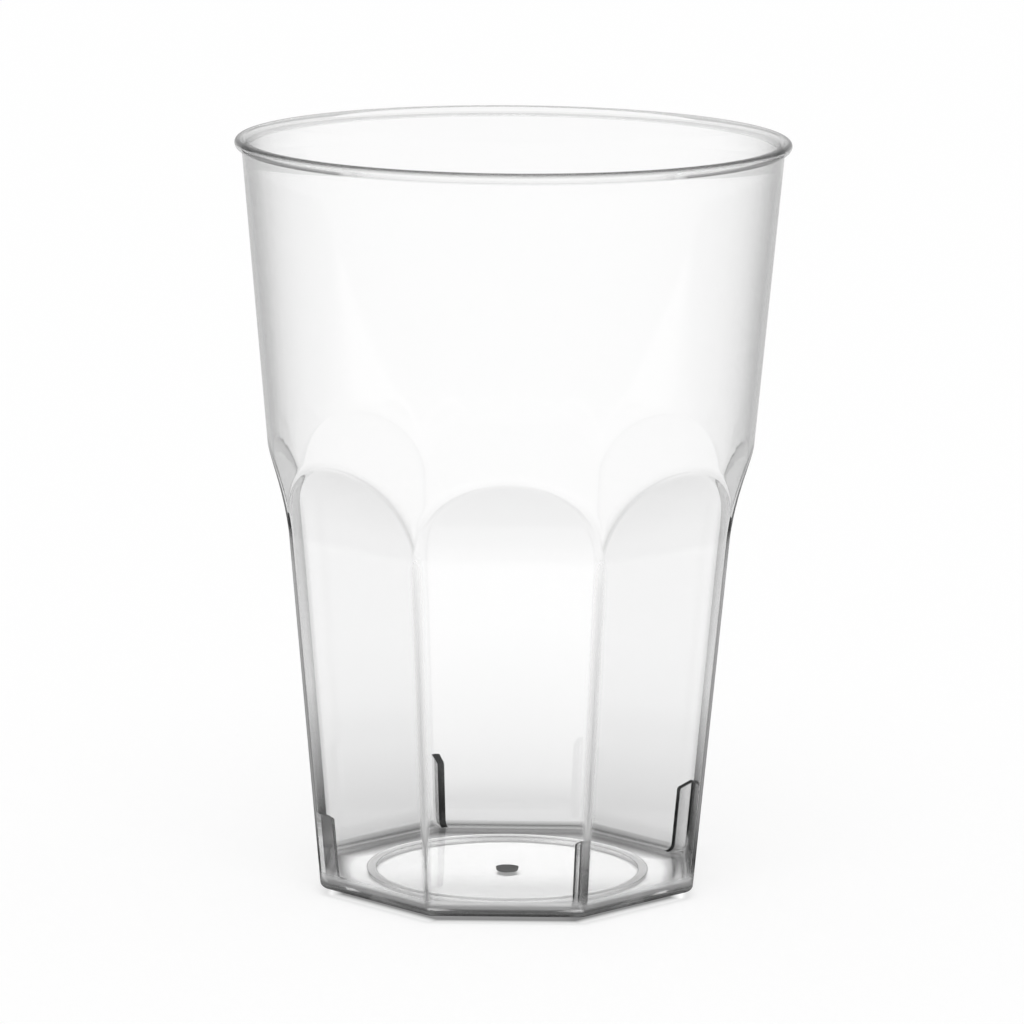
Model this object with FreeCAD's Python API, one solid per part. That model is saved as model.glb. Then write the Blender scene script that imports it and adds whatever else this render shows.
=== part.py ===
"""Clear moulded tumbler: a round tapered bowl that turns into an eight-sided lower body.

One solid in one node. The lower body's flat facets run out into the round bowl through
concave scoops, so each facet ends in an arch. The wall has one thickness, inside and out.
Four short ribs stand inside, on alternate corners, and stop nested tumblers from jamming.
The tumbler stands on a low ring under its floor, which keeps the gate mark off the table.

Millimetres, +Z up, origin on the axis at the standing plane.
"""
import FreeCAD
import Part
import math
import os

# Bowl and wall
overall_height = 115.4
bowl_top_diameter = 82.5     # outside of the wall, carried up to the rim's top
bowl_draft = 5.05            # degrees from the axis
wall = 0.8
floor_thickness = 1.2

# Rolled rim
rim_overhang = 0.95          # past the outside of the wall, at the rim's top
rim_height = 1.45
rim_outer_rounding = 0.7
rim_inner_rounding = 0.5

# Facets of the lower body
facet_count = 8
facet_corner_setback = 0.05  # from the round bowl to the corners, where the flats end
facet_draft = 5.03           # degrees from the axis
facet_top_height = 56.2      # where the flats end and the scoops begin
arch_top_height = 68.8       # where the scoops meet the round bowl
foot_rounding = 1.1
floor_rounding = 1.0

# Standing ring and gate mark under the floor
foot_height = 1.1
foot_setback = 7.7           # from a facet's lower end in to the middle of the ring
foot_width = 1.2
foot_chamfer = 0.3
gate_diameter = 3.4
gate_height = 0.5

# Stacking ribs
rib_count = 4
rib_thickness = 1.2
rib_height = 11.0            # above the floor, at the wall
rib_depth = 2.2              # towards the axis, from the inner corner
rib_fall = 1.0               # of the rib's top, from the wall to its inner edge
rib_rounding = 0.5

# Directions, in degrees from +X
front = -90.0                # the way the front facet looks
scoop_sweep = 90.0           # the cutter's arc turns this far, well past the bowl's face

# Worked out from the sizes above
up = FreeCAD.Vector(0, 0, 1)
floor_top = foot_height + floor_thickness
bowl_top_radius = bowl_top_diameter / 2
rim_radius = bowl_top_radius + rim_overhang
half_facet = 180.0 / facet_count
clear_radius = 1.5 * rim_radius
facet_up = FreeCAD.Vector(math.sin(math.radians(facet_draft)), 0, math.cos(math.radians(facet_draft)))
facet_out = FreeCAD.Vector(facet_up.z, 0, -facet_up.x)


def bowl_radius(height):
    """Outer radius of the round wall at a height."""
    return bowl_top_radius - (overall_height - height) * math.tan(math.radians(bowl_draft))


def facet_apothem(height):
    """Distance from the axis to a facet's outer face at a height."""
    corner_radius = bowl_radius(facet_top_height) - facet_corner_setback
    top_apothem = corner_radius * math.cos(math.radians(half_facet))
    return top_apothem - (facet_top_height - height) * math.tan(math.radians(facet_draft))


def inner_corner(height):
    """Distance from the axis to the wall's inner face at a corner between two facets."""
    inner_apothem = facet_apothem(height) - wall / facet_up.z
    return inner_apothem / math.cos(math.radians(half_facet))


def bowl_cone(bottom, top, inset):
    """Solid cone inside the round wall, moved in from its outer face."""
    step = inset / math.cos(math.radians(bowl_draft))
    centre = FreeCAD.Vector(0, 0, bottom)
    return Part.makeCone(bowl_radius(bottom) - step, bowl_radius(top) - step, top - bottom, centre)


def circle_edges(shape, radius, height):
    """Full-circle edges about the axis with a radius, at a height."""
    found = []
    for edge in shape.Edges:
        if not isinstance(edge.Curve, Part.Circle):
            continue
        if abs(edge.Curve.Radius - radius) < 1e-4 and abs(edge.Curve.Center.z - height) < 1e-4:
            found.append(edge)
    return found


def flat_edges(shape, height):
    """Edges that lie level at a height."""
    return [edge for edge in shape.Edges
            if abs(edge.BoundBox.ZMin - height) < 1e-4 and abs(edge.BoundBox.ZMax - height) < 1e-4]


def around(shape, count, start):
    """Copies of a shape, evenly spaced about the axis from a starting angle in degrees."""
    origin = FreeCAD.Vector(0, 0, 0)
    copies = []
    for index in range(count):
        turned = shape.copy()
        turned.rotate(origin, up, start + 360.0 * index / count)
        copies.append(turned)
    return copies


def facet_cutter(inset):
    """Everything outside one facet and its scoop, moved in from the outer face.

    The scoop is an arc tangent to the facet. It passes through the bowl's outer face at
    the top of the arch, and its centre is the same for every inset.
    """
    facet_end = FreeCAD.Vector(facet_apothem(facet_top_height), 0, facet_top_height)
    arch_top = FreeCAD.Vector(bowl_radius(arch_top_height), 0, arch_top_height)
    chord = arch_top - facet_end
    scoop_radius = chord.dot(chord) / (2 * chord.dot(facet_out))
    scoop_centre = facet_end + facet_out * scoop_radius
    radius = scoop_radius + inset

    def on_scoop(turn):
        angle = math.radians(turn)
        return scoop_centre - facet_out * (radius * math.cos(angle)) + facet_up * (radius * math.sin(angle))

    start, middle, end = on_scoop(0), on_scoop(scoop_sweep / 2), on_scoop(scoop_sweep)
    low = start - facet_up * (2 * facet_top_height)
    far_top = FreeCAD.Vector(2 * clear_radius, 0, end.z)
    far_low = FreeCAD.Vector(2 * clear_radius, 0, low.z)
    wire = Part.Wire([
        Part.LineSegment(low, start).toShape(),
        Part.Arc(start, middle, end).toShape(),
        Part.LineSegment(end, far_top).toShape(),
        Part.LineSegment(far_top, far_low).toShape(),
        Part.LineSegment(far_low, low).toShape(),
    ])
    face = Part.Face(wire)
    face.translate(FreeCAD.Vector(0, -clear_radius, 0))
    return face.extrude(FreeCAD.Vector(0, 2 * clear_radius, 0))


def outer_form():
    """Solid outer shape: bowl, rim, facets and the rounded lower edge."""
    rim_foot = overall_height - rim_height
    rim = Part.makeCylinder(rim_radius, rim_height, FreeCAD.Vector(0, 0, rim_foot))
    form = bowl_cone(foot_height, overall_height, 0).fuse(rim).removeSplitter()
    outer_edges = circle_edges(form, rim_radius, rim_foot) + circle_edges(form, rim_radius, overall_height)
    form = form.makeFillet(rim_outer_rounding, outer_edges)
    form = form.cut(around(facet_cutter(0), facet_count, 0))
    return form.makeFillet(foot_rounding, flat_edges(form, foot_height))


def inner_form():
    """Solid that fills the inside: the outer shape moved in by the wall."""
    form = bowl_cone(floor_top, overall_height + rim_height, wall)
    form = form.cut(around(facet_cutter(wall), facet_count, 0))
    return form.makeFillet(floor_rounding, flat_edges(form, floor_top))


def standing_ring():
    """Low ring under the floor, let into it by half the floor's thickness."""
    height = foot_height + floor_thickness / 2
    foot_radius = facet_apothem(foot_height) - foot_setback
    outside = Part.makeCylinder(foot_radius + foot_width / 2, height)
    inside = Part.makeCylinder(foot_radius - foot_width / 2, height)
    ring = outside.cut(inside)
    return ring.makeChamfer(foot_chamfer, flat_edges(ring, 0))


def gate_mark():
    """Stub of the moulding gate, under the middle of the floor."""
    bottom = FreeCAD.Vector(0, 0, foot_height - gate_height)
    return Part.makeCylinder(gate_diameter / 2, gate_height + floor_thickness / 2, bottom)


def stacking_rib():
    """Upright rib in the +X direction, with its outer side inside the wall."""
    rib_top = floor_top + rib_height
    sunk = wall / 2
    rib_foot = floor_top - sunk
    base_root = FreeCAD.Vector(inner_corner(rib_foot) + sunk, 0, rib_foot)
    top_root = FreeCAD.Vector(inner_corner(rib_top) + sunk, 0, rib_top)
    crest_height = rib_top - rib_fall
    top_edge = FreeCAD.Vector(inner_corner(crest_height) - rib_depth, 0, crest_height)
    base_edge = FreeCAD.Vector(inner_corner(rib_foot) - rib_depth, 0, rib_foot)
    outline = Part.makePolygon([base_root, top_root, top_edge, base_edge, base_root])
    face = Part.Face(outline)
    face.translate(FreeCAD.Vector(0, -rib_thickness / 2, 0))
    rib = face.extrude(FreeCAD.Vector(0, rib_thickness, 0))
    crest = [edge for edge in rib.Edges
             if all(abs(vertex.X - top_edge.x) < 1e-4 and abs(vertex.Z - crest_height) < 1e-4
                    for vertex in edge.Vertexes)]
    return rib.makeFillet(rib_rounding, crest)


def tumbler():
    """The whole moulding."""
    ribs = around(stacking_rib(), rib_count, front + half_facet)
    body = outer_form().cut(inner_form())
    inner_rim = bowl_radius(overall_height) - wall / math.cos(math.radians(bowl_draft))
    body = body.makeFillet(rim_inner_rounding, circle_edges(body, inner_rim, overall_height))
    return body.fuse(ribs + [standing_ring(), gate_mark()]).removeSplitter()


os.makedirs("parts", exist_ok=True)
solid = tumbler().Solids[0]
solid.exportStep("parts/tumbler.step")
print("tumbler: volume %.0f mm3, %d faces, valid %s" % (solid.Volume, len(solid.Faces), solid.isValid()))
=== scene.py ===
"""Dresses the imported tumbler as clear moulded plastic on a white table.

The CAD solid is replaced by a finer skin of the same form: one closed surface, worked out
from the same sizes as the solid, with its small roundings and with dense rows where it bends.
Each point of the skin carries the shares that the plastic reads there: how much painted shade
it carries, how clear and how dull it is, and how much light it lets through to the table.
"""
import math

import bpy
import numpy as np
from mathutils import Matrix, Vector


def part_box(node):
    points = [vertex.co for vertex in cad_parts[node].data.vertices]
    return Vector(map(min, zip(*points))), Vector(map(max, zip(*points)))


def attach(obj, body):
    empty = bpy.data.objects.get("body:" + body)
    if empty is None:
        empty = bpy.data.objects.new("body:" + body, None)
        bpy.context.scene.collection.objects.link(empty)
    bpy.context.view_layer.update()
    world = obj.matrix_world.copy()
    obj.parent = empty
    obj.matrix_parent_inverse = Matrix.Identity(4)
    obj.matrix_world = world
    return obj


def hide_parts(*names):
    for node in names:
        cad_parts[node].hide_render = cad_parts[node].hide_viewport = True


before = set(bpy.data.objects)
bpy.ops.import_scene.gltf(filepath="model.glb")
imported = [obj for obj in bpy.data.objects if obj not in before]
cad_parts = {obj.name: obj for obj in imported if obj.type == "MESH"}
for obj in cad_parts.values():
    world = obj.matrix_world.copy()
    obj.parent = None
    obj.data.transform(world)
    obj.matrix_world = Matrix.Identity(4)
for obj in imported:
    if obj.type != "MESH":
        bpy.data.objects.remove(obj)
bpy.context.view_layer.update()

MM = 0.001


_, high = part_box("tumbler")

# ---------------------------------------------------------------- sizes, in millimetres
rim_radius = high.x / MM
overall_height = high.z / MM

rim_overhang = 0.95
bowl_top_radius = rim_radius - rim_overhang
bowl_draft = math.radians(5.05)
wall = 0.8
floor_thickness = 1.2

rim_height = 1.45
rim_outer_rounding = 0.7
rim_inner_rounding = 0.5
rim_root_rounding = 0.3

facet_count = 8
facet_corner_setback = 0.05
facet_draft = math.radians(5.03)
facet_top_height = 56.2
arch_top_height = 68.8
corner_rounding = 1.2
arch_rounding = 0.08
inner_arch_rounding = 0.4
foot_rounding = 1.1
floor_rounding = 1.0

foot_height = 1.1
foot_setback = 7.7
foot_width = 1.2
foot_chamfer = 0.3
foot_corner_spread = 0.4     # how much rounder the corners get under the foot
ring_root_width = 0.15       # chamfer where the ring meets the floor
ring_root_height = 0.12
gate_diameter = 3.4
gate_height = 0.5
gate_chamfer = 0.12
gate_root = 0.1              # chamfer where the gate mark meets the floor

rib_count = 4
rib_thickness = 1.2
rib_height = 11.0
rib_depth = 2.2
rib_fall = 1.0
rib_rounding = 0.5

half_facet = math.pi / facet_count
floor_top = foot_height + floor_thickness
rib_top = floor_top + rib_height


# ---------------------------------------------------------------- rows and columns, in millimetres
# rows that follow the arches lie between these heights
ARCH_START = facet_top_height - 0.5
ARCH_END = arch_top_height + 2.6
ARCH_SEARCH = 1.5            # above the arches' top, where the search for their edge begins
HALVINGS = 40
SCOOP_ROWS, ABOVE_ROWS = 20, 10

# columns, in degrees from a corner and from a rib's side
CORNER_COLUMNS = [0.0, 0.15, 0.3, 0.45, 0.6, 0.75, 0.95]
RIB_SIDE_COLUMNS = (-0.12, -0.02, 0.02, 0.12)
WIDE_START = 0.45
WIDE_COLUMNS = 20

UNDERSIDE_ROWS = (5.0, 2.4, 1.4)         # in from the facets
LOW_ROWS = [2.5, 2.9, 3.4, 4.0, 4.6]     # heights that keep the foot's painted shade from spreading
FLOOR_ROWS = (22.0, 14.0, 6.0, 0.0)      # radii
RECESS_GAP = 0.5             # from the gate mark to the recess's first row
MOUTH_GAP = 1.2              # from the rim's top down to the first row of the inner face
RIB_GAP = 1.0                # from a rib's ends to the next plain row
RIB_LEAD = 0.05              # first step down a rib's sloped top
CREST_GAP = 0.04             # from a rib's top and sides to the nearest row or column
FLOOR_EDGE_GAP = 0.4         # from the inner rounding to the floor's first row
RIB_FOOT_GAP = 0.3           # the same in front of a rib
SHARP_ANGLE = 38

# bands of the shares
CORNER_BAND = 2.1            # degrees either side of a corner
ARCH_BAND = 1.2              # either side of an arch's edge
SCOOP_FADE = 0.6             # over which the scoop's painted shade comes and goes
FACET_FADE = 2.0             # either side of the flats' end
SIDE_DIRECTION = 0.8         # sine from which a corner counts as beside the front
LOW_START, LOW_END = 2.0, 4.4            # heights at which the foot's painted shade starts and ends to fade
LOW_HAZE_START, LOW_HAZE_END = 3.4, 4.6
FILLET_START, FILLET_END = 3.2, 4.5
CORNER_HAZE_START, CORNER_HAZE_END = 4.0, 14.0
BAND_POWER = 1.5             # how fast the foot's painted shade fades and the arch's painted shade grows


# ---------------------------------------------------------------- looks
# plastic: painted shade by grazing angle, the grey that painted shade goes to, absorption per metre
GRAZING_SHADE = ((0.2, 1.0), (0.33, 0.99), (0.45, 0.965), (0.56, 0.91), (0.66, 0.8), (0.76, 0.63),
             (1.0, 0.45))
PAINTED_SHADE_GREY = 0.0
ABSORPTION = 14.0
INDEX = 1.55
TURNED_START, TURNED_END = 0.05, 0.2     # grazing angle from which an arch's edge gets painted shade

# share of painted shade on each form, standing in for the dark that bent light shows there
GATE_SHADE = 1.0
RING_SHADE = 0.12
FOOT_ROUNDING_SHADE = 0.3
CREST_SHADE = 1.0
FLANK_SHADE = 0.45
SCOOP_SHADE = 0.07

# painted shade the same way, on the near side only: corner, arch, rim and foot lines
CORNER_SHADE_HIGH = 0.08
CORNER_SHADE_LOW = 0.5
SIDE_CORNER_SHADE = 0.4
ARCH_SHADE = 0.42
RIM_TOP_SHADE = 0.85
LOW_SHADE = 0.6

# share of the painted shade by grazing angle
RIM_GRAZE = 0.3
FLOOR_GRAZE = 0.2

# share that is seen straight through, which softens the dark lines of tight curves
RIM_CLEAR = 0.6
RIM_TOP_CLEAR = 0.3
RING_CLEAR = 0.88
FOOT_CLEAR = 0.4
FILLET_CLEAR = 0.2
RIB_CLEAR = 0.3

# share of dull surface on the corners and the foot of the near side
CORNER_HAZE = 0.65
LOW_HAZE = 0.38

# how much light each surface lets through to the table; above one in the floor, so that the
# table stays white as seen through it
WALL_PASS = 0.93
PLATE_PASS = 1.97
RING_PASS = 0.9
FOOT_PASS = 0.45
RIB_PASS = 0.3

# room: strength of what the plastic shows of it and of the table, chosen for the look
OVERHEAD = 0.4
OVERHEAD_START, OVERHEAD_END = 0.45, 0.75
MIRROR_FRONT = 1.25
MIRROR_BACK = 0.75
MIRROR_ROOM = 0.9
MIRROR_INSIDE = 1.2
MIRROR_ABOVE = 0.35
ABOVE_START, ABOVE_END = 0.08, 0.2
BEHIND_START, BEHIND_END = 0.2, 0.5
MIRROR_UNDER = 0.4
MIRROR_SIDES = 0.65
MIRROR_TWICE = 0.5
WORLD_LIGHT = 0.5
KEY_ENERGY = 1.9
KEY_ANGLE = 40
KEY_ELEVATION = 60

# table, in metres
TABLE_RADIUS = 6.0
TABLE_WHITE = 0.9
CAMERA_LIFT = 0.5            # share of its white that the table gives off by itself
TABLE_LIFT = 0.16            # the same in what the plastic shows
TABLE_GAP = 0.00005
# painted shadow under the foot's edge, and a painted darker front half of the disc under the floor
FOOT_SHADOW = 0.8
FRONT_SHADOW = 0.62
BACK_SHADOW = 0.92
DISC_FRONT = 0.78
FRONT_SHADOW_RADIUS = 0.024
BACK_SHADOW_RADIUS = 0.0268
FOOT_SHADOW_WIDTH = 0.006
SIDE_SHADOW_WIDTH = 0.002
SHADOW_TURN = 0.02           # the shadow goes from its front to its back over twice this
SHADOW_SIDE, SHADOW_END = 0.2, 0.9       # share of a direction that points front or back
DISC_START, DISC_END = 0.024, 0.028      # edge of the disc under the floor
DISC_DARK, DISC_LIGHT = -0.008, 0.001    # where its painted darker front half ends, front to back
FOOT_EDGE_START, FOOT_EDGE_END = 0.025, 0.0268

# painted mirror image of the table
UNDER_START, UNDER_END = 0.025, 0.027
FAR_START, FAR_END = 0.05, 0.15
LEVEL_REACH = 0.3
SIDES_START, SIDES_END = 0.19, 0.24
ASIDE_START, ASIDE_END = 0.3, 0.9

# camera, in metres and degrees, with its height above the foot
CAMERA_DISTANCE = 0.9131
CAMERA_HEIGHT = 0.22906
CAMERA_AROUND = 0.41
CAMERA_PAN = 0.0165
CAMERA_PITCH = 10.687
CAMERA_ROLL = 0.4945
CAMERA_SENSOR = 36
CAMERA_LENS = 213.47578      # millimetres


# ---------------------------------------------------------------- the wall's two faces
def bowl_radius(height):
    """Outer radius of the round wall."""
    return bowl_top_radius - (overall_height - height) * math.tan(bowl_draft)


def facet_apothem(height):
    """Axis to a facet's outer face."""
    top = (bowl_radius(facet_top_height) - facet_corner_setback) * math.cos(half_facet)
    return top - (facet_top_height - height) * math.tan(facet_draft)


def scoop():
    """Centre and radius of the arc that carries a facet out into the bowl."""
    out = np.array([math.cos(facet_draft), -math.sin(facet_draft)])
    end = np.array([facet_apothem(facet_top_height), facet_top_height])
    chord = np.array([bowl_radius(arch_top_height), arch_top_height]) - end
    radius = chord @ chord / (2 * chord @ out)
    return end + out * radius, radius


SCOOP_CENTRE, SCOOP_RADIUS = scoop()


def face_apothem(height, inset):
    """Axis to a facet's face, or to its scoop higher up, moved in by an inset."""
    flat = facet_apothem(height) - inset / math.cos(facet_draft)
    radius = SCOOP_RADIUS + inset
    rise = height - SCOOP_CENTRE[1]
    scooped = SCOOP_CENTRE[0] - np.sqrt(np.maximum(radius ** 2 - rise ** 2, 0))
    return np.where(rise > radius * math.sin(facet_draft), scooped, flat)


def octagon_radius(angle, apothem, rounding):
    """Radius of a rounded octagon in each direction; a corner is at half a facet."""
    off_face = (angle + half_facet) % (2 * half_facet) - half_facet
    off_corner = half_facet - np.abs(off_face)
    flat = apothem / np.cos(off_face)
    centre = (apothem - rounding) / math.cos(half_facet)
    inside = np.maximum(rounding ** 2 - (centre * np.sin(off_corner)) ** 2, 0)
    arc = centre * np.cos(off_corner) + np.sqrt(inside)
    tangent = np.arctan2((apothem - rounding) * math.tan(half_facet), apothem)
    return np.where(np.abs(off_face) > tangent, arc, flat)


def wall_faces(angle, height, inset):
    """Radii of the faceted body and of the round bowl, moved in by an inset."""
    faceted = octagon_radius(angle, face_apothem(height, inset), corner_rounding - inset)
    return faceted, bowl_radius(height) - inset / math.cos(bowl_draft)


def wall_radius(angle, height, inset):
    """Radius of the wall's face: the smaller of the two, with the edge between them rounded."""
    faceted, round_wall = wall_faces(angle, height, inset)
    width = inner_arch_rounding if inset else arch_rounding
    near = np.maximum(width - np.abs(faceted - round_wall), 0) / width
    return np.minimum(faceted, round_wall) - near * near * width / 4


def arch_edge(angle, inset):
    """Height in each direction at which the faceted body meets the round bowl."""
    under = np.full_like(angle, facet_top_height)
    over = np.full_like(angle, arch_top_height + ARCH_SEARCH)
    for _ in range(HALVINGS):
        middle = (under + over) / 2
        faceted, round_wall = wall_faces(angle, middle, inset)
        past = faceted > round_wall
        over = np.where(past, middle, over)
        under = np.where(past, under, middle)
    return under


# ---------------------------------------------------------------- rows and columns of the skin
def column_angles():
    """Directions of the columns, closer together at the corners and the ribs' sides."""
    rib_side = math.degrees(math.asin(rib_thickness / 2 / facet_apothem(foot_height)))
    side = [rib_side + step for step in RIB_SIDE_COLUMNS]
    wide = list(np.linspace(rib_side + WIDE_START, math.degrees(half_facet), WIDE_COLUMNS))
    half = CORNER_COLUMNS + side + wide
    angles = []
    for corner in range(facet_count):
        middle = math.degrees(half_facet) * (2 * corner + 1)
        angles += [middle - step for step in half[:0:-1]]
        angles += [middle + step for step in half[:-1]]
    return np.radians(np.array(angles))


def rib_profile():
    """Points down a rib's top and inner edge: how deep, and how far below the highest point."""
    fall = math.atan2(rib_fall, rib_depth)
    reach = rib_rounding * math.tan((math.pi / 2 - fall) / 2)
    centre = (rib_depth - rib_rounding, rib_fall + reach)
    points = [(0.0, 0.0), (RIB_LEAD, RIB_LEAD * math.tan(fall))]
    for turn in np.linspace(fall, math.pi / 2, 6):
        depth = centre[0] + rib_rounding * math.sin(turn)
        points.append((depth, centre[1] - rib_rounding * math.cos(turn)))
    return np.array(points)


RIB_PROFILE = rib_profile()


def off_rib(angle):
    """Distance sideways from the middle of the nearest rib."""
    spacing = 2 * math.pi / rib_count
    turn = (angle - half_facet + spacing / 2) % spacing - spacing / 2
    return np.abs(np.sin(turn)) * facet_apothem(foot_height)


def rib_shade(angle, step):
    """Share of painted shade: most on a rib's inner edge and top, less on its flanks, none beside
    it.
    """
    crest = off_rib(angle) < rib_thickness / 2 - CREST_GAP
    return np.where(step > 0, np.where(crest, CREST_SHADE, FLANK_SHADE), 0.0)


def rib_step(angle, height):
    """How far the ribs push the inner face towards the axis."""
    if np.min(height) > rib_top:
        return np.zeros_like(angle)
    depth = np.interp(rib_top - height, RIB_PROFILE[:, 1], RIB_PROFILE[:, 0])
    return np.where(off_rib(angle) < rib_thickness / 2, depth, 0.0)


def arc_points(centre, radius, start, end, count):
    """Points on an arc in the section plane; angles in degrees."""
    turns = np.radians(np.linspace(start, end, count))
    return [(centre[0] + radius * math.cos(t), centre[1] + radius * math.sin(t)) for t in turns]


def along(value, start, end):
    """Zero at the start, one at the end, and held beyond both. The end may be the lower one."""
    return np.clip((value - start) / (end - start), 0, 1)


def bump(distance, band):
    """One in the middle of a band, and a smooth fall to zero at its edges."""
    return np.clip(1 - (distance / band) ** 2, 0, 1) ** 2


# what the material reads at a point unless a row says otherwise
SHARES = {"section": 0.0, "edge": 0.0, "near": 0.0, "graze": 1.0, "clear": 0.0, "haze": 0.0,
          "passing": WALL_PASS}


def skin_rows(angles):
    """Rows of the skin, from the middle of the underside to the middle of the floor.

    Each row is a dict of arrays: radius and height, and the shares that the material reads.
    """
    rows = []
    none = np.zeros_like(angles)

    def row(radius, height, **shares):
        given = {**SHARES, "radius": radius, "height": height, **shares}
        rows.append({name: none + value for name, value in given.items()})

    def plate(radius, height, **shares):
        row(radius, height, **{"graze": FLOOR_GRAZE, "passing": PLATE_PASS, **shares})

    # underside: gate mark, recess, standing ring
    gate_radius = gate_diameter / 2
    gate_bottom = foot_height - gate_height
    foot_radius = facet_apothem(foot_height) - foot_setback
    gate = [(0.0, gate_bottom), (gate_radius / 2, gate_bottom),
            (gate_radius - gate_chamfer, gate_bottom), (gate_radius, gate_bottom + gate_chamfer),
            (gate_radius, foot_height - gate_root)]
    # the gate mark is painted dark
    for radius, height in gate:
        plate(radius, height, section=GATE_SHADE, passing=FOOT_PASS)
    plate(gate_radius + gate_root, foot_height)
    inner, outer = foot_radius - foot_width / 2, foot_radius + foot_width / 2
    for radius in np.linspace(gate_radius + RECESS_GAP, inner - ring_root_width, 6):
        plate(radius, foot_height)
    root = foot_height - ring_root_height
    ring = [(inner, root), (inner, foot_chamfer), (inner + foot_chamfer, 0.0),
            (outer - foot_chamfer, 0.0), (outer, foot_chamfer), (outer, root)]
    # the standing ring is painted a little grey
    for radius, height in ring:
        plate(radius, height, section=RING_SHADE, passing=RING_PASS, clear=RING_CLEAR)
    plate(outer + ring_root_width, foot_height)

    # underside beyond the ring, turning into an octagon, and the foot's rounding
    apothem = facet_apothem(foot_height)
    for inward in UNDERSIDE_ROWS:
        plate(octagon_radius(angles, apothem - inward, inward), foot_height)
    # the foot's rounding is painted dark, darker still on the near side
    for turn in np.radians(np.linspace(0, 90, 9)):
        lift = foot_rounding * (1 - math.cos(turn))
        reach = apothem - foot_rounding * (1 - math.sin(turn)) + lift * math.tan(facet_draft)
        rounding = corner_rounding + foot_corner_spread * math.cos(turn)
        row(octagon_radius(angles, reach, rounding), foot_height + lift, section=FOOT_ROUNDING_SHADE,
            passing=FOOT_PASS, clear=FOOT_CLEAR, near=LOW_SHADE,
            haze=LOW_HAZE * math.sin(turn / 2))

    # outside and inside of the wall
    half = math.degrees(half_facet)
    off_face = np.degrees((angles + half_facet) % (2 * half_facet)) - half
    at_corner = bump(half - np.abs(off_face), CORNER_BAND)
    beside = np.abs(np.sin(angles)) > SIDE_DIRECTION
    flank = along(np.abs(off_face), 0, half) ** BAND_POWER

    def wall_rows(heights, inset):
        """Rows of the wall's outer face, or of its inner face when there is an inset."""
        edge_height = arch_edge(angles, inset)
        sideways = np.gradient(np.unwrap(angles)) * bowl_radius(facet_top_height)
        slope = np.gradient(edge_height) / sideways
        for height in heights:
            below = along(height, facet_top_height + FACET_FADE, facet_top_height - FACET_FADE)
            corner = at_corner * below
            step = rib_step(angles, none + height) if inset else none
            rib = step > 0
            clear = FILLET_CLEAR * along(height, FILLET_END, FILLET_START)
            # painted shade: ribs darker, and a painted line on the inner corners at the sides
            shares = {
                "section": rib_shade(angles, step),
                "near": corner * SIDE_CORNER_SHADE * beside,
                "clear": np.maximum(clear, RIB_CLEAR * rib),
                "passing": np.where(rib, RIB_PASS, WALL_PASS),
            }
            if not inset:
                # painted shade on the outer face: corner lines darker towards the foot, dark arch
                # lines, a faint veil in the scoops and a dark band at the foot
                off_arch = (height - edge_height) / np.sqrt(1 + slope ** 2)
                down = along(height, facet_top_height, 0)
                corner_shade = CORNER_SHADE_HIGH + (CORNER_SHADE_LOW - CORNER_SHADE_HIGH) * down
                low_shade = LOW_SHADE * along(height, LOW_END, LOW_START) ** BAND_POWER
                in_scoop = along(height, facet_top_height, facet_top_height + SCOOP_FADE)
                in_scoop = in_scoop * along(height, edge_height, edge_height - SCOOP_FADE)
                corner_haze = CORNER_HAZE * along(height, CORNER_HAZE_START, CORNER_HAZE_END)
                low_haze = LOW_HAZE * along(height, LOW_HAZE_END, LOW_HAZE_START)
                near = np.maximum(corner_shade * corner, low_shade)
                shares["edge"] = ARCH_SHADE * bump(off_arch, ARCH_BAND) * flank * (1 - below)
                shares["near"] = np.maximum(near, SCOOP_SHADE * in_scoop)
                shares["haze"] = np.maximum(corner_haze * corner, low_haze)
            row(wall_radius(angles, height, inset) - step, height, **shares)

    def arch_rows(inset):
        """Rows that follow the arches' edge, dense beside it."""
        edge = arch_edge(angles, inset)
        scoops = [ARCH_START + (edge - ARCH_START) * (1 - (1 - t) ** 2)
                  for t in np.linspace(0, 1, SCOOP_ROWS)]
        above = [edge + (ARCH_END - edge) * t ** 2 for t in np.linspace(0, 1, ABOVE_ROWS)[1:]]
        return scoops + above

    root_height = overall_height - rim_height
    flats = list(np.linspace(foot_height + foot_rounding, ARCH_START, 14)[1:-1])
    upper = list(np.linspace(ARCH_END, root_height - rim_root_rounding, 12)[1:])
    wall_rows(LOW_ROWS + flats + arch_rows(0) + upper, 0)

    # rim
    root_radius = bowl_radius(root_height)
    root_centre = (root_radius + rim_root_rounding, root_height - rim_root_rounding)
    for radius, height in arc_points(root_centre, rim_root_rounding, 180, 90, 5)[1:]:
        row(radius, height, clear=RIM_CLEAR)
    low_centre = (rim_radius - rim_outer_rounding, root_height + rim_outer_rounding)
    high_centre = (rim_radius - rim_outer_rounding, overall_height - rim_outer_rounding)
    inner_rim = bowl_radius(overall_height) - wall / math.cos(bowl_draft)
    mouth_centre = (inner_rim + rim_inner_rounding, overall_height - rim_inner_rounding)
    for radius, height in arc_points(low_centre, rim_outer_rounding, -90, 0, 9):
        row(radius, height, graze=RIM_GRAZE, clear=RIM_CLEAR)
    # a painted dark line along the top of the rim, on the near side
    high_arc = arc_points(high_centre, rim_outer_rounding, 0, 90, 9)
    for share, (radius, height) in zip(np.linspace(0, 2, 9), high_arc):
        row(radius, height, graze=RIM_GRAZE, near=RIM_TOP_SHADE * min(share, 1),
            clear=RIM_TOP_CLEAR)
    for radius, height in arc_points(mouth_centre, rim_inner_rounding, 90, 180, 7):
        row(radius, height, graze=RIM_GRAZE, clear=RIM_CLEAR)

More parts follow.
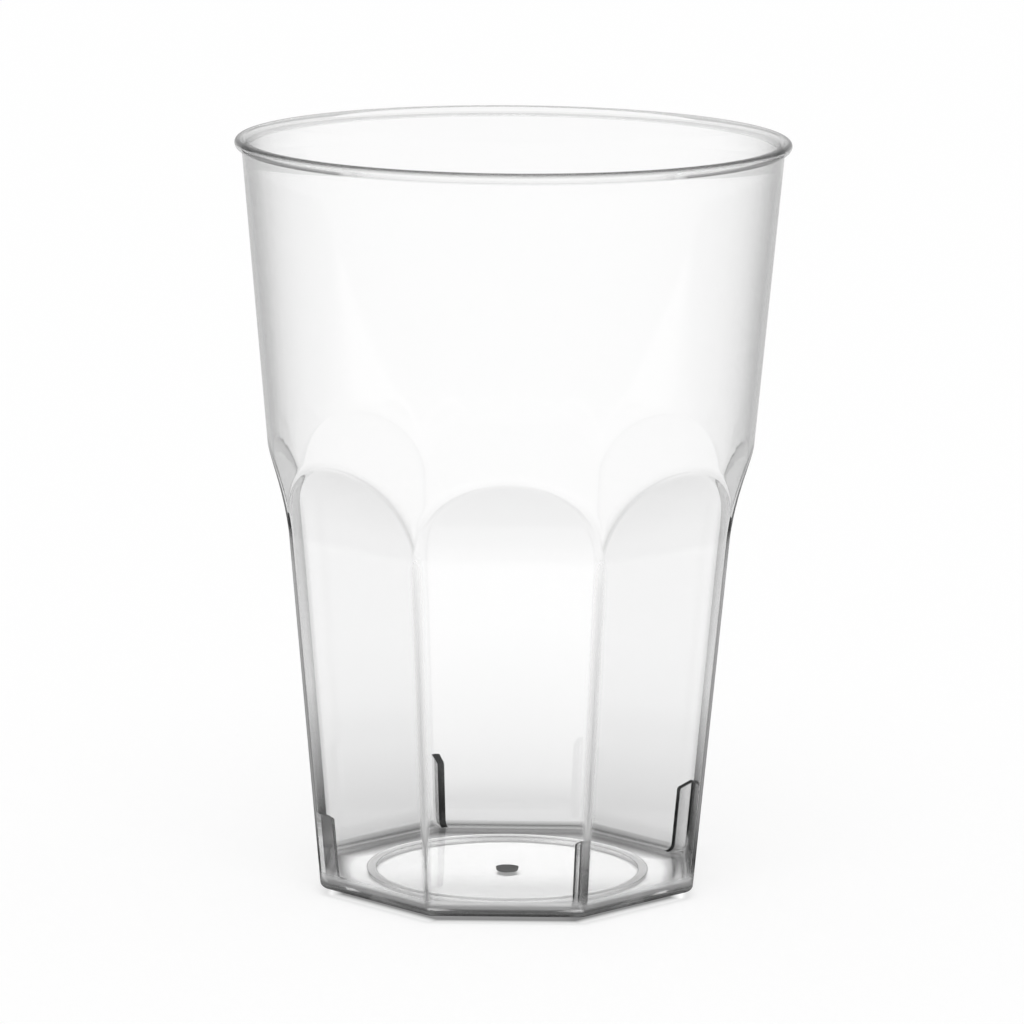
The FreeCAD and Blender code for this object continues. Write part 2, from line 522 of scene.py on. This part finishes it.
    # inside of the wall
    fillet_top = floor_top + floor_rounding
    inside_upper = list(np.linspace(overall_height - MOUTH_GAP, ARCH_END, 12)[:-1])
    inside_lower = list(np.linspace(ARCH_START, rib_top + RIB_GAP, 10)[1:])
    crest = [rib_top + CREST_GAP] + list(rib_top - RIB_PROFILE[:, 1])
    ribbed = list(np.linspace(crest[-1] - RIB_GAP, fillet_top, 5))
    wall_rows(inside_upper + arch_rows(wall)[::-1] + inside_lower + crest + ribbed, wall)

    # rounding into the floor, and the floor
    inner_apothem = facet_apothem(floor_top) - wall / math.cos(facet_draft)
    for turn in np.radians(np.linspace(0, 90, 8))[1:]:
        height = fillet_top - floor_rounding * math.sin(turn)
        reach = inner_apothem - floor_rounding * (1 - math.cos(turn))
        reach += (height - floor_top) * math.tan(facet_draft)
        step = rib_step(angles, none + height)
        row(octagon_radius(angles, reach, corner_rounding - wall) - step, height,
            section=rib_shade(angles, step), clear=np.where(step > 0, RIB_CLEAR, FILLET_CLEAR))
    floor_edge = octagon_radius(angles, reach - FLOOR_EDGE_GAP, corner_rounding)
    plate(np.minimum(floor_edge, rows[-1]["radius"] - RIB_FOOT_GAP), floor_top)
    for radius in FLOOR_ROWS:
        plate(radius, floor_top)
    return rows


def skin_mesh(name):
    """The closed skin as a mesh, smooth apart from its true edges."""
    angles = column_angles()
    rows = skin_rows(angles)
    columns = len(angles)
    sine, cosine = np.sin(angles), np.cos(angles)

    def over_points(key):
        """One value for each point: the two middles have one point each."""
        inside = [row[key] for row in rows[1:-1]]
        return np.concatenate([rows[0][key][:1]] + inside + [rows[-1][key][:1]])

    count = len(rows) - 2
    x_part, y_part = [np.concatenate([[0.0], np.tile(part, count), [0.0]])
                      for part in (sine, -cosine)]
    radius = over_points("radius")
    points = np.column_stack([radius * x_part, radius * y_part, over_points("height")]) * MM
    last = len(points) - 1
    faces = []
    for column in range(columns):
        following = (column + 1) % columns
        faces.append((0, 1 + following, 1 + column))
        for row in range(count - 1):
            here, above = 1 + row * columns, 1 + (row + 1) * columns
            faces.append((here + column, here + following, above + following, above + column))
        top = 1 + (count - 1) * columns
        faces.append((last, top + column, top + following))
    mesh = bpy.data.meshes.new(name)
    mesh.from_pydata(points.tolist(), [], faces)
    mesh.update()
    for key in SHARES:
        values = over_points(key).astype(np.float32)
        mesh.attributes.new(key, "FLOAT", "POINT").data.foreach_set("value", values)
    mesh.shade_smooth()
    mesh.set_sharp_from_angle(angle=math.radians(SHARP_ANGLE))
    return mesh


# ---------------------------------------------------------------- materials
class Nodes:
    """Builds a node tree; an input is a number, a colour or another node's socket."""

    def __init__(self, owner):
        owner.use_nodes = True
        self.tree = owner.node_tree
        self.tree.nodes.clear()

    def new(self, kind, **settings):
        node = self.tree.nodes.new("ShaderNode" + kind)
        for name, value in settings.items():
            setattr(node, name, value)
        return node

    def feed(self, socket, value):
        if isinstance(value, (int, float, tuple)):
            socket.default_value = value
        else:
            self.tree.links.new(value, socket)

    def math(self, operation, *values):
        node = self.new("Math", operation=operation)
        for socket, value in zip(node.inputs, values):
            self.feed(socket, value)
        return node.outputs[0]

    def ramp(self, value, start, end, low_value, high_value):
        """A value carried from one range to another, and held at its ends."""
        node = self.new("MapRange")
        for socket, given in zip(node.inputs, (value, start, end, low_value, high_value)):
            self.feed(socket, given)
        return node.outputs["Result"]

    def blend(self, share, first, second):
        """A value between two others."""
        node = self.new("Mix")
        for name, value in (("Factor", share), ("A", first), ("B", second)):
            self.feed(node.inputs[name], value)
        return node.outputs["Result"]

    def attribute(self, name):
        return self.new("Attribute", attribute_name=name).outputs["Fac"]

    def mix_shaders(self, share, first, second):
        node = self.new("MixShader")
        for socket, value in zip(node.inputs, (share, first, second)):
            self.feed(socket, value)
        return node.outputs["Shader"]


def clear_plastic():
    """Clear polystyrene with painted shade: greyer at grazing angles and on the ribs, gate, ring,
    foot, corners, arches and rim, with a pale shadow.
    """
    material = bpy.data.materials.new("clear_plastic")
    nodes = Nodes(material)
    plastic = nodes.new("BsdfPrincipled")
    plastic.inputs["Roughness"].default_value = 0.0
    plastic.inputs["IOR"].default_value = INDEX
    plastic.inputs["Transmission Weight"].default_value = 1.0

    # painted shade: the plastic turns greyer where it is seen at a grazing angle
    facing = nodes.new("LayerWeight")
    facing.inputs["Blend"].default_value = 0.5
    grazing_shade_ramp = nodes.new("ValToRGB")
    while len(grazing_shade_ramp.color_ramp.elements) < len(GRAZING_SHADE):
        grazing_shade_ramp.color_ramp.elements.new(0.5)
    for element, (position, value) in zip(grazing_shade_ramp.color_ramp.elements, GRAZING_SHADE):
        element.position = position
        element.color = (value, value, value, 1)
    nodes.feed(grazing_shade_ramp.inputs["Fac"], facing.outputs["Facing"])
    grazing = nodes.blend(nodes.attribute("graze"), 1.0, grazing_shade_ramp.outputs["Color"])
    # painted shade on the near side: dark arch lines where the surface turns away, and the corner,
    # rim and foot lines
    turned = nodes.ramp(facing.outputs["Facing"], TURNED_START, TURNED_END, 0.0, 1.0)
    arch = nodes.math("MULTIPLY", nodes.attribute("edge"), turned)
    edge = nodes.math("MAXIMUM", arch, nodes.attribute("near"))
    geometry = nodes.new("NewGeometry")
    far_side = geometry.outputs["Backfacing"]
    near = nodes.blend(far_side, edge, 0.0)
    # painted shade of the gate, ring, foot and ribs, taken with the near side's; the colour goes
    # towards grey by it
    shade_share = nodes.math("MAXIMUM", nodes.attribute("section"), near)
    base = nodes.blend(shade_share, grazing, PAINTED_SHADE_GREY)
    nodes.feed(plastic.inputs["Base Color"], base)
    straight = nodes.new("BsdfTransparent")
    nodes.feed(straight.inputs["Color"], nodes.math("SQRT", base))
    clear = nodes.mix_shaders(nodes.attribute("clear"), plastic.outputs["BSDF"],
                              straight.outputs["BSDF"])
    dull = nodes.new("BsdfDiffuse")
    nodes.feed(dull.inputs["Color"], base)
    haze = nodes.blend(far_side, nodes.attribute("haze"), 0.0)
    seen = nodes.mix_shaders(haze, clear, dull.outputs["BSDF"])

    absorption = nodes.new("VolumeAbsorption")
    absorption.inputs["Color"].default_value = (0, 0, 0, 1)
    absorption.inputs["Density"].default_value = ABSORPTION

    shadow = nodes.new("BsdfTransparent")
    nodes.feed(shadow.inputs["Color"], nodes.attribute("passing"))
    path = nodes.new("LightPath")
    surface = nodes.mix_shaders(path.outputs["Is Shadow Ray"], seen, shadow.outputs["BSDF"])
    output = nodes.new("OutputMaterial")
    nodes.feed(output.inputs["Surface"], surface)
    nodes.feed(output.inputs["Volume"], absorption.outputs["Volume"])
    return material


def white_table():
    """Plain white table with a painted soft shadow line under the foot's edge, and a painted darker
    front half under the floor.

    Its painted mirror image in the plastic has its own strength, and is darker close to the foot.
    """
    material = bpy.data.materials.new("white_table")
    nodes = Nodes(material)
    path = nodes.new("LightPath")
    camera_ray, diffuse_ray = path.outputs["Is Camera Ray"], path.outputs["Is Diffuse Ray"]
    mirrored = nodes.math("GREATER_THAN", path.outputs["Glossy Depth"], 0.5)
    twice = nodes.math("GREATER_THAN", path.outputs["Glossy Depth"], 1.5)

    diffuse = nodes.new("BsdfDiffuse")
    place = nodes.new("SeparateXYZ")
    geometry = nodes.new("NewGeometry")
    nodes.feed(place.inputs[0], geometry.outputs["Position"])
    squares = [nodes.math("MULTIPLY", place.outputs[axis], place.outputs[axis])
               for axis in ("X", "Y")]
    distance = nodes.math("SQRT", nodes.math("ADD", *squares))

    # painted eight-sided shadow of the foot's edge
    sideways = nodes.math("ABSOLUTE", place.outputs["X"])
    behind = nodes.math("ABSOLUTE", place.outputs["Y"])
    diagonal = nodes.math("MULTIPLY", nodes.math("ADD", sideways, behind), math.sqrt(0.5))
    octagon = nodes.math("MAXIMUM", nodes.math("MAXIMUM", sideways, behind), diagonal)
    middle = nodes.ramp(place.outputs["Y"], -SHADOW_TURN, SHADOW_TURN,
                        FRONT_SHADOW_RADIUS, BACK_SHADOW_RADIUS)
    off_edge = nodes.math("ABSOLUTE", nodes.math("SUBTRACT", octagon, middle))
    depth = nodes.ramp(place.outputs["Y"], -SHADOW_TURN, SHADOW_TURN, FRONT_SHADOW, BACK_SHADOW)
    across = nodes.math("DIVIDE", behind, distance)
    width = nodes.ramp(across, SHADOW_SIDE, SHADOW_END, SIDE_SHADOW_WIDTH, FOOT_SHADOW_WIDTH)
    shade = nodes.ramp(nodes.math("DIVIDE", off_edge, width), 0.0, 1.0, 1.0, 0.0)
    edge_shade = nodes.math("SUBTRACT", 1.0, nodes.math("MULTIPLY", depth, shade))
    # painted shade: the disc under the floor is darker towards the front
    disc_shade = nodes.blend(nodes.ramp(octagon, DISC_START, DISC_END, 1.0, 0.0), 1.0,
                             nodes.ramp(place.outputs["Y"], DISC_DARK, DISC_LIGHT, DISC_FRONT, 1.0))
    under = nodes.math("MULTIPLY", edge_shade, disc_shade)
    # painted shadow of the foot's edge where the camera sees the table directly
    foot_shade = nodes.ramp(octagon, FOOT_EDGE_START, FOOT_EDGE_END, 1 - FOOT_SHADOW, 1.0)
    open_share = nodes.blend(camera_ray, under, foot_shade)
    beside = nodes.blend(camera_ray, TABLE_LIFT, CAMERA_LIFT + TABLE_LIFT / 2)
    lift = nodes.math("MULTIPLY", beside, open_share)
    white = nodes.blend(camera_ray, TABLE_WHITE, TABLE_WHITE * (1 - CAMERA_LIFT))
    nodes.feed(diffuse.inputs["Color"], nodes.math("MULTIPLY", white, open_share))
    glow = nodes.new("Emission")
    nodes.feed(glow.inputs["Strength"], nodes.blend(diffuse_ray, lift, 0.0))
    both = nodes.new("AddShader")
    nodes.feed(both.inputs[0], diffuse.outputs["BSDF"])
    nodes.feed(both.inputs[1], glow.outputs["Emission"])

    # painted mirror image, after one reflection and after more
    far = nodes.ramp(distance, FAR_START, FAR_END, 0.0, 1.0)
    level = nodes.ramp(place.outputs["Y"], -LEVEL_REACH, LEVEL_REACH, MIRROR_FRONT, MIRROR_BACK)
    sides = nodes.ramp(distance, SIDES_START, SIDES_END, MIRROR_SIDES, 1.0)
    aside = nodes.ramp(nodes.math("DIVIDE", sideways, distance), ASIDE_START, ASIDE_END, 1.0, sides)
    outside = nodes.math("MULTIPLY", nodes.math("MULTIPLY", far, level), aside)
    once = nodes.blend(nodes.ramp(octagon, UNDER_START, UNDER_END, 0.0, 1.0), MIRROR_UNDER, outside)
    image = nodes.new("Emission")
    nodes.feed(image.inputs["Strength"], nodes.blend(twice, once, MIRROR_TWICE))
    output = nodes.new("OutputMaterial")
    surface = nodes.mix_shaders(mirrored, both.outputs["Shader"], image.outputs["Emission"])
    nodes.feed(output.inputs["Surface"], surface)
    return material


# ---------------------------------------------------------------- stage
def floor():
    """The table: a wide disc at the standing plane."""
    bpy.ops.mesh.primitive_circle_add(vertices=96, radius=TABLE_RADIUS, fill_type="NGON",
                                      location=(0, 0, -TABLE_GAP))
    table = bpy.context.object
    table.name = "table"
    table.data.materials.append(white_table())


def light():
    """Soft studio light: an even white room and one broad lamp from the front, high up."""
    world = bpy.data.worlds.new("room")
    bpy.context.scene.world = world
    nodes = Nodes(world)
    path = nodes.new("LightPath")

    # the room darkens overhead, in what is seen bent through the plastic
    coordinates = nodes.new("TexCoord")
    split = nodes.new("SeparateXYZ")
    nodes.feed(split.inputs[0], coordinates.outputs["Generated"])
    overhead = nodes.ramp(split.outputs["Z"], OVERHEAD_START, OVERHEAD_END, 1.0, OVERHEAD)

    # what the plastic mirrors: darker high up behind the cup once the ray has been inside
    once = nodes.math("GREATER_THAN", path.outputs["Glossy Depth"], 0.5)
    twice = nodes.math("GREATER_THAN", path.outputs["Glossy Depth"], 1.5)
    inside = nodes.math("GREATER_THAN", path.outputs["Transmission Depth"], 1.5)
    behind = nodes.ramp(split.outputs["Y"], BEHIND_START, BEHIND_END, MIRROR_INSIDE, MIRROR_ABOVE)
    above = nodes.ramp(split.outputs["Z"], ABOVE_START, ABOVE_END, MIRROR_INSIDE, behind)
    mirrored = nodes.blend(twice, nodes.blend(inside, MIRROR_ROOM, above), MIRROR_TWICE)
    through = nodes.blend(once, overhead, mirrored)
    seen = nodes.math("MAXIMUM", path.outputs["Is Glossy Ray"], path.outputs["Is Transmission Ray"])
    unseen = nodes.blend(seen, WORLD_LIGHT, through)
    strength = nodes.blend(path.outputs["Is Camera Ray"], unseen, 1.0)
    background = nodes.new("Background")
    nodes.feed(background.inputs["Strength"], strength)
    output = nodes.new("OutputWorld")
    nodes.feed(output.inputs["Surface"], background.outputs["Background"])

    lamp = bpy.data.lights.new("key", "SUN")
    lamp.energy = KEY_ENERGY
    lamp.angle = math.radians(KEY_ANGLE)
    key = bpy.data.objects.new("key", lamp)
    key.rotation_euler = (math.radians(90 - KEY_ELEVATION), 0, 0)
    key.visible_glossy = False
    key.visible_transmission = False
    bpy.context.scene.collection.objects.link(key)


def camera():
    """A long lens about a metre away, twice as high as the cup, looking slightly down."""
    height = CAMERA_HEIGHT + foot_height * MM
    pan, pitch, roll = [math.radians(turn) for turn in (CAMERA_PAN, CAMERA_PITCH, CAMERA_ROLL)]
    level = math.cos(pitch)
    forward = Vector((math.sin(pan) * level, math.cos(pan) * level, -math.sin(pitch)))
    right = forward.cross(Vector((0, 0, 1))).normalized()
    up = right.cross(forward)
    rolled_right = right * math.cos(roll) + up * math.sin(roll)
    rolled_up = up * math.cos(roll) - right * math.sin(roll)
    data = bpy.data.cameras.new("camera")
    data.sensor_width = CAMERA_SENSOR
    data.lens = CAMERA_LENS
    data.clip_start = 0.01
    eye = bpy.data.objects.new("camera", data)
    turn = Matrix.Rotation(math.radians(CAMERA_AROUND), 4, "Z")
    basis = Matrix((rolled_right, rolled_up, -forward)).transposed().to_4x4()
    eye.matrix_world = turn @ Matrix.Translation((0, -CAMERA_DISTANCE, height)) @ basis
    bpy.context.scene.collection.objects.link(eye)
    bpy.context.scene.camera = eye


skin = bpy.data.objects.new("tumbler_skin", skin_mesh("tumbler_skin"))
skin.data.materials.append(clear_plastic())
bpy.context.scene.collection.objects.link(skin)
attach(skin, "root")
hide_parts("tumbler")

floor()
light()
camera()
bpy.context.scene.view_settings.view_transform = "Standard"
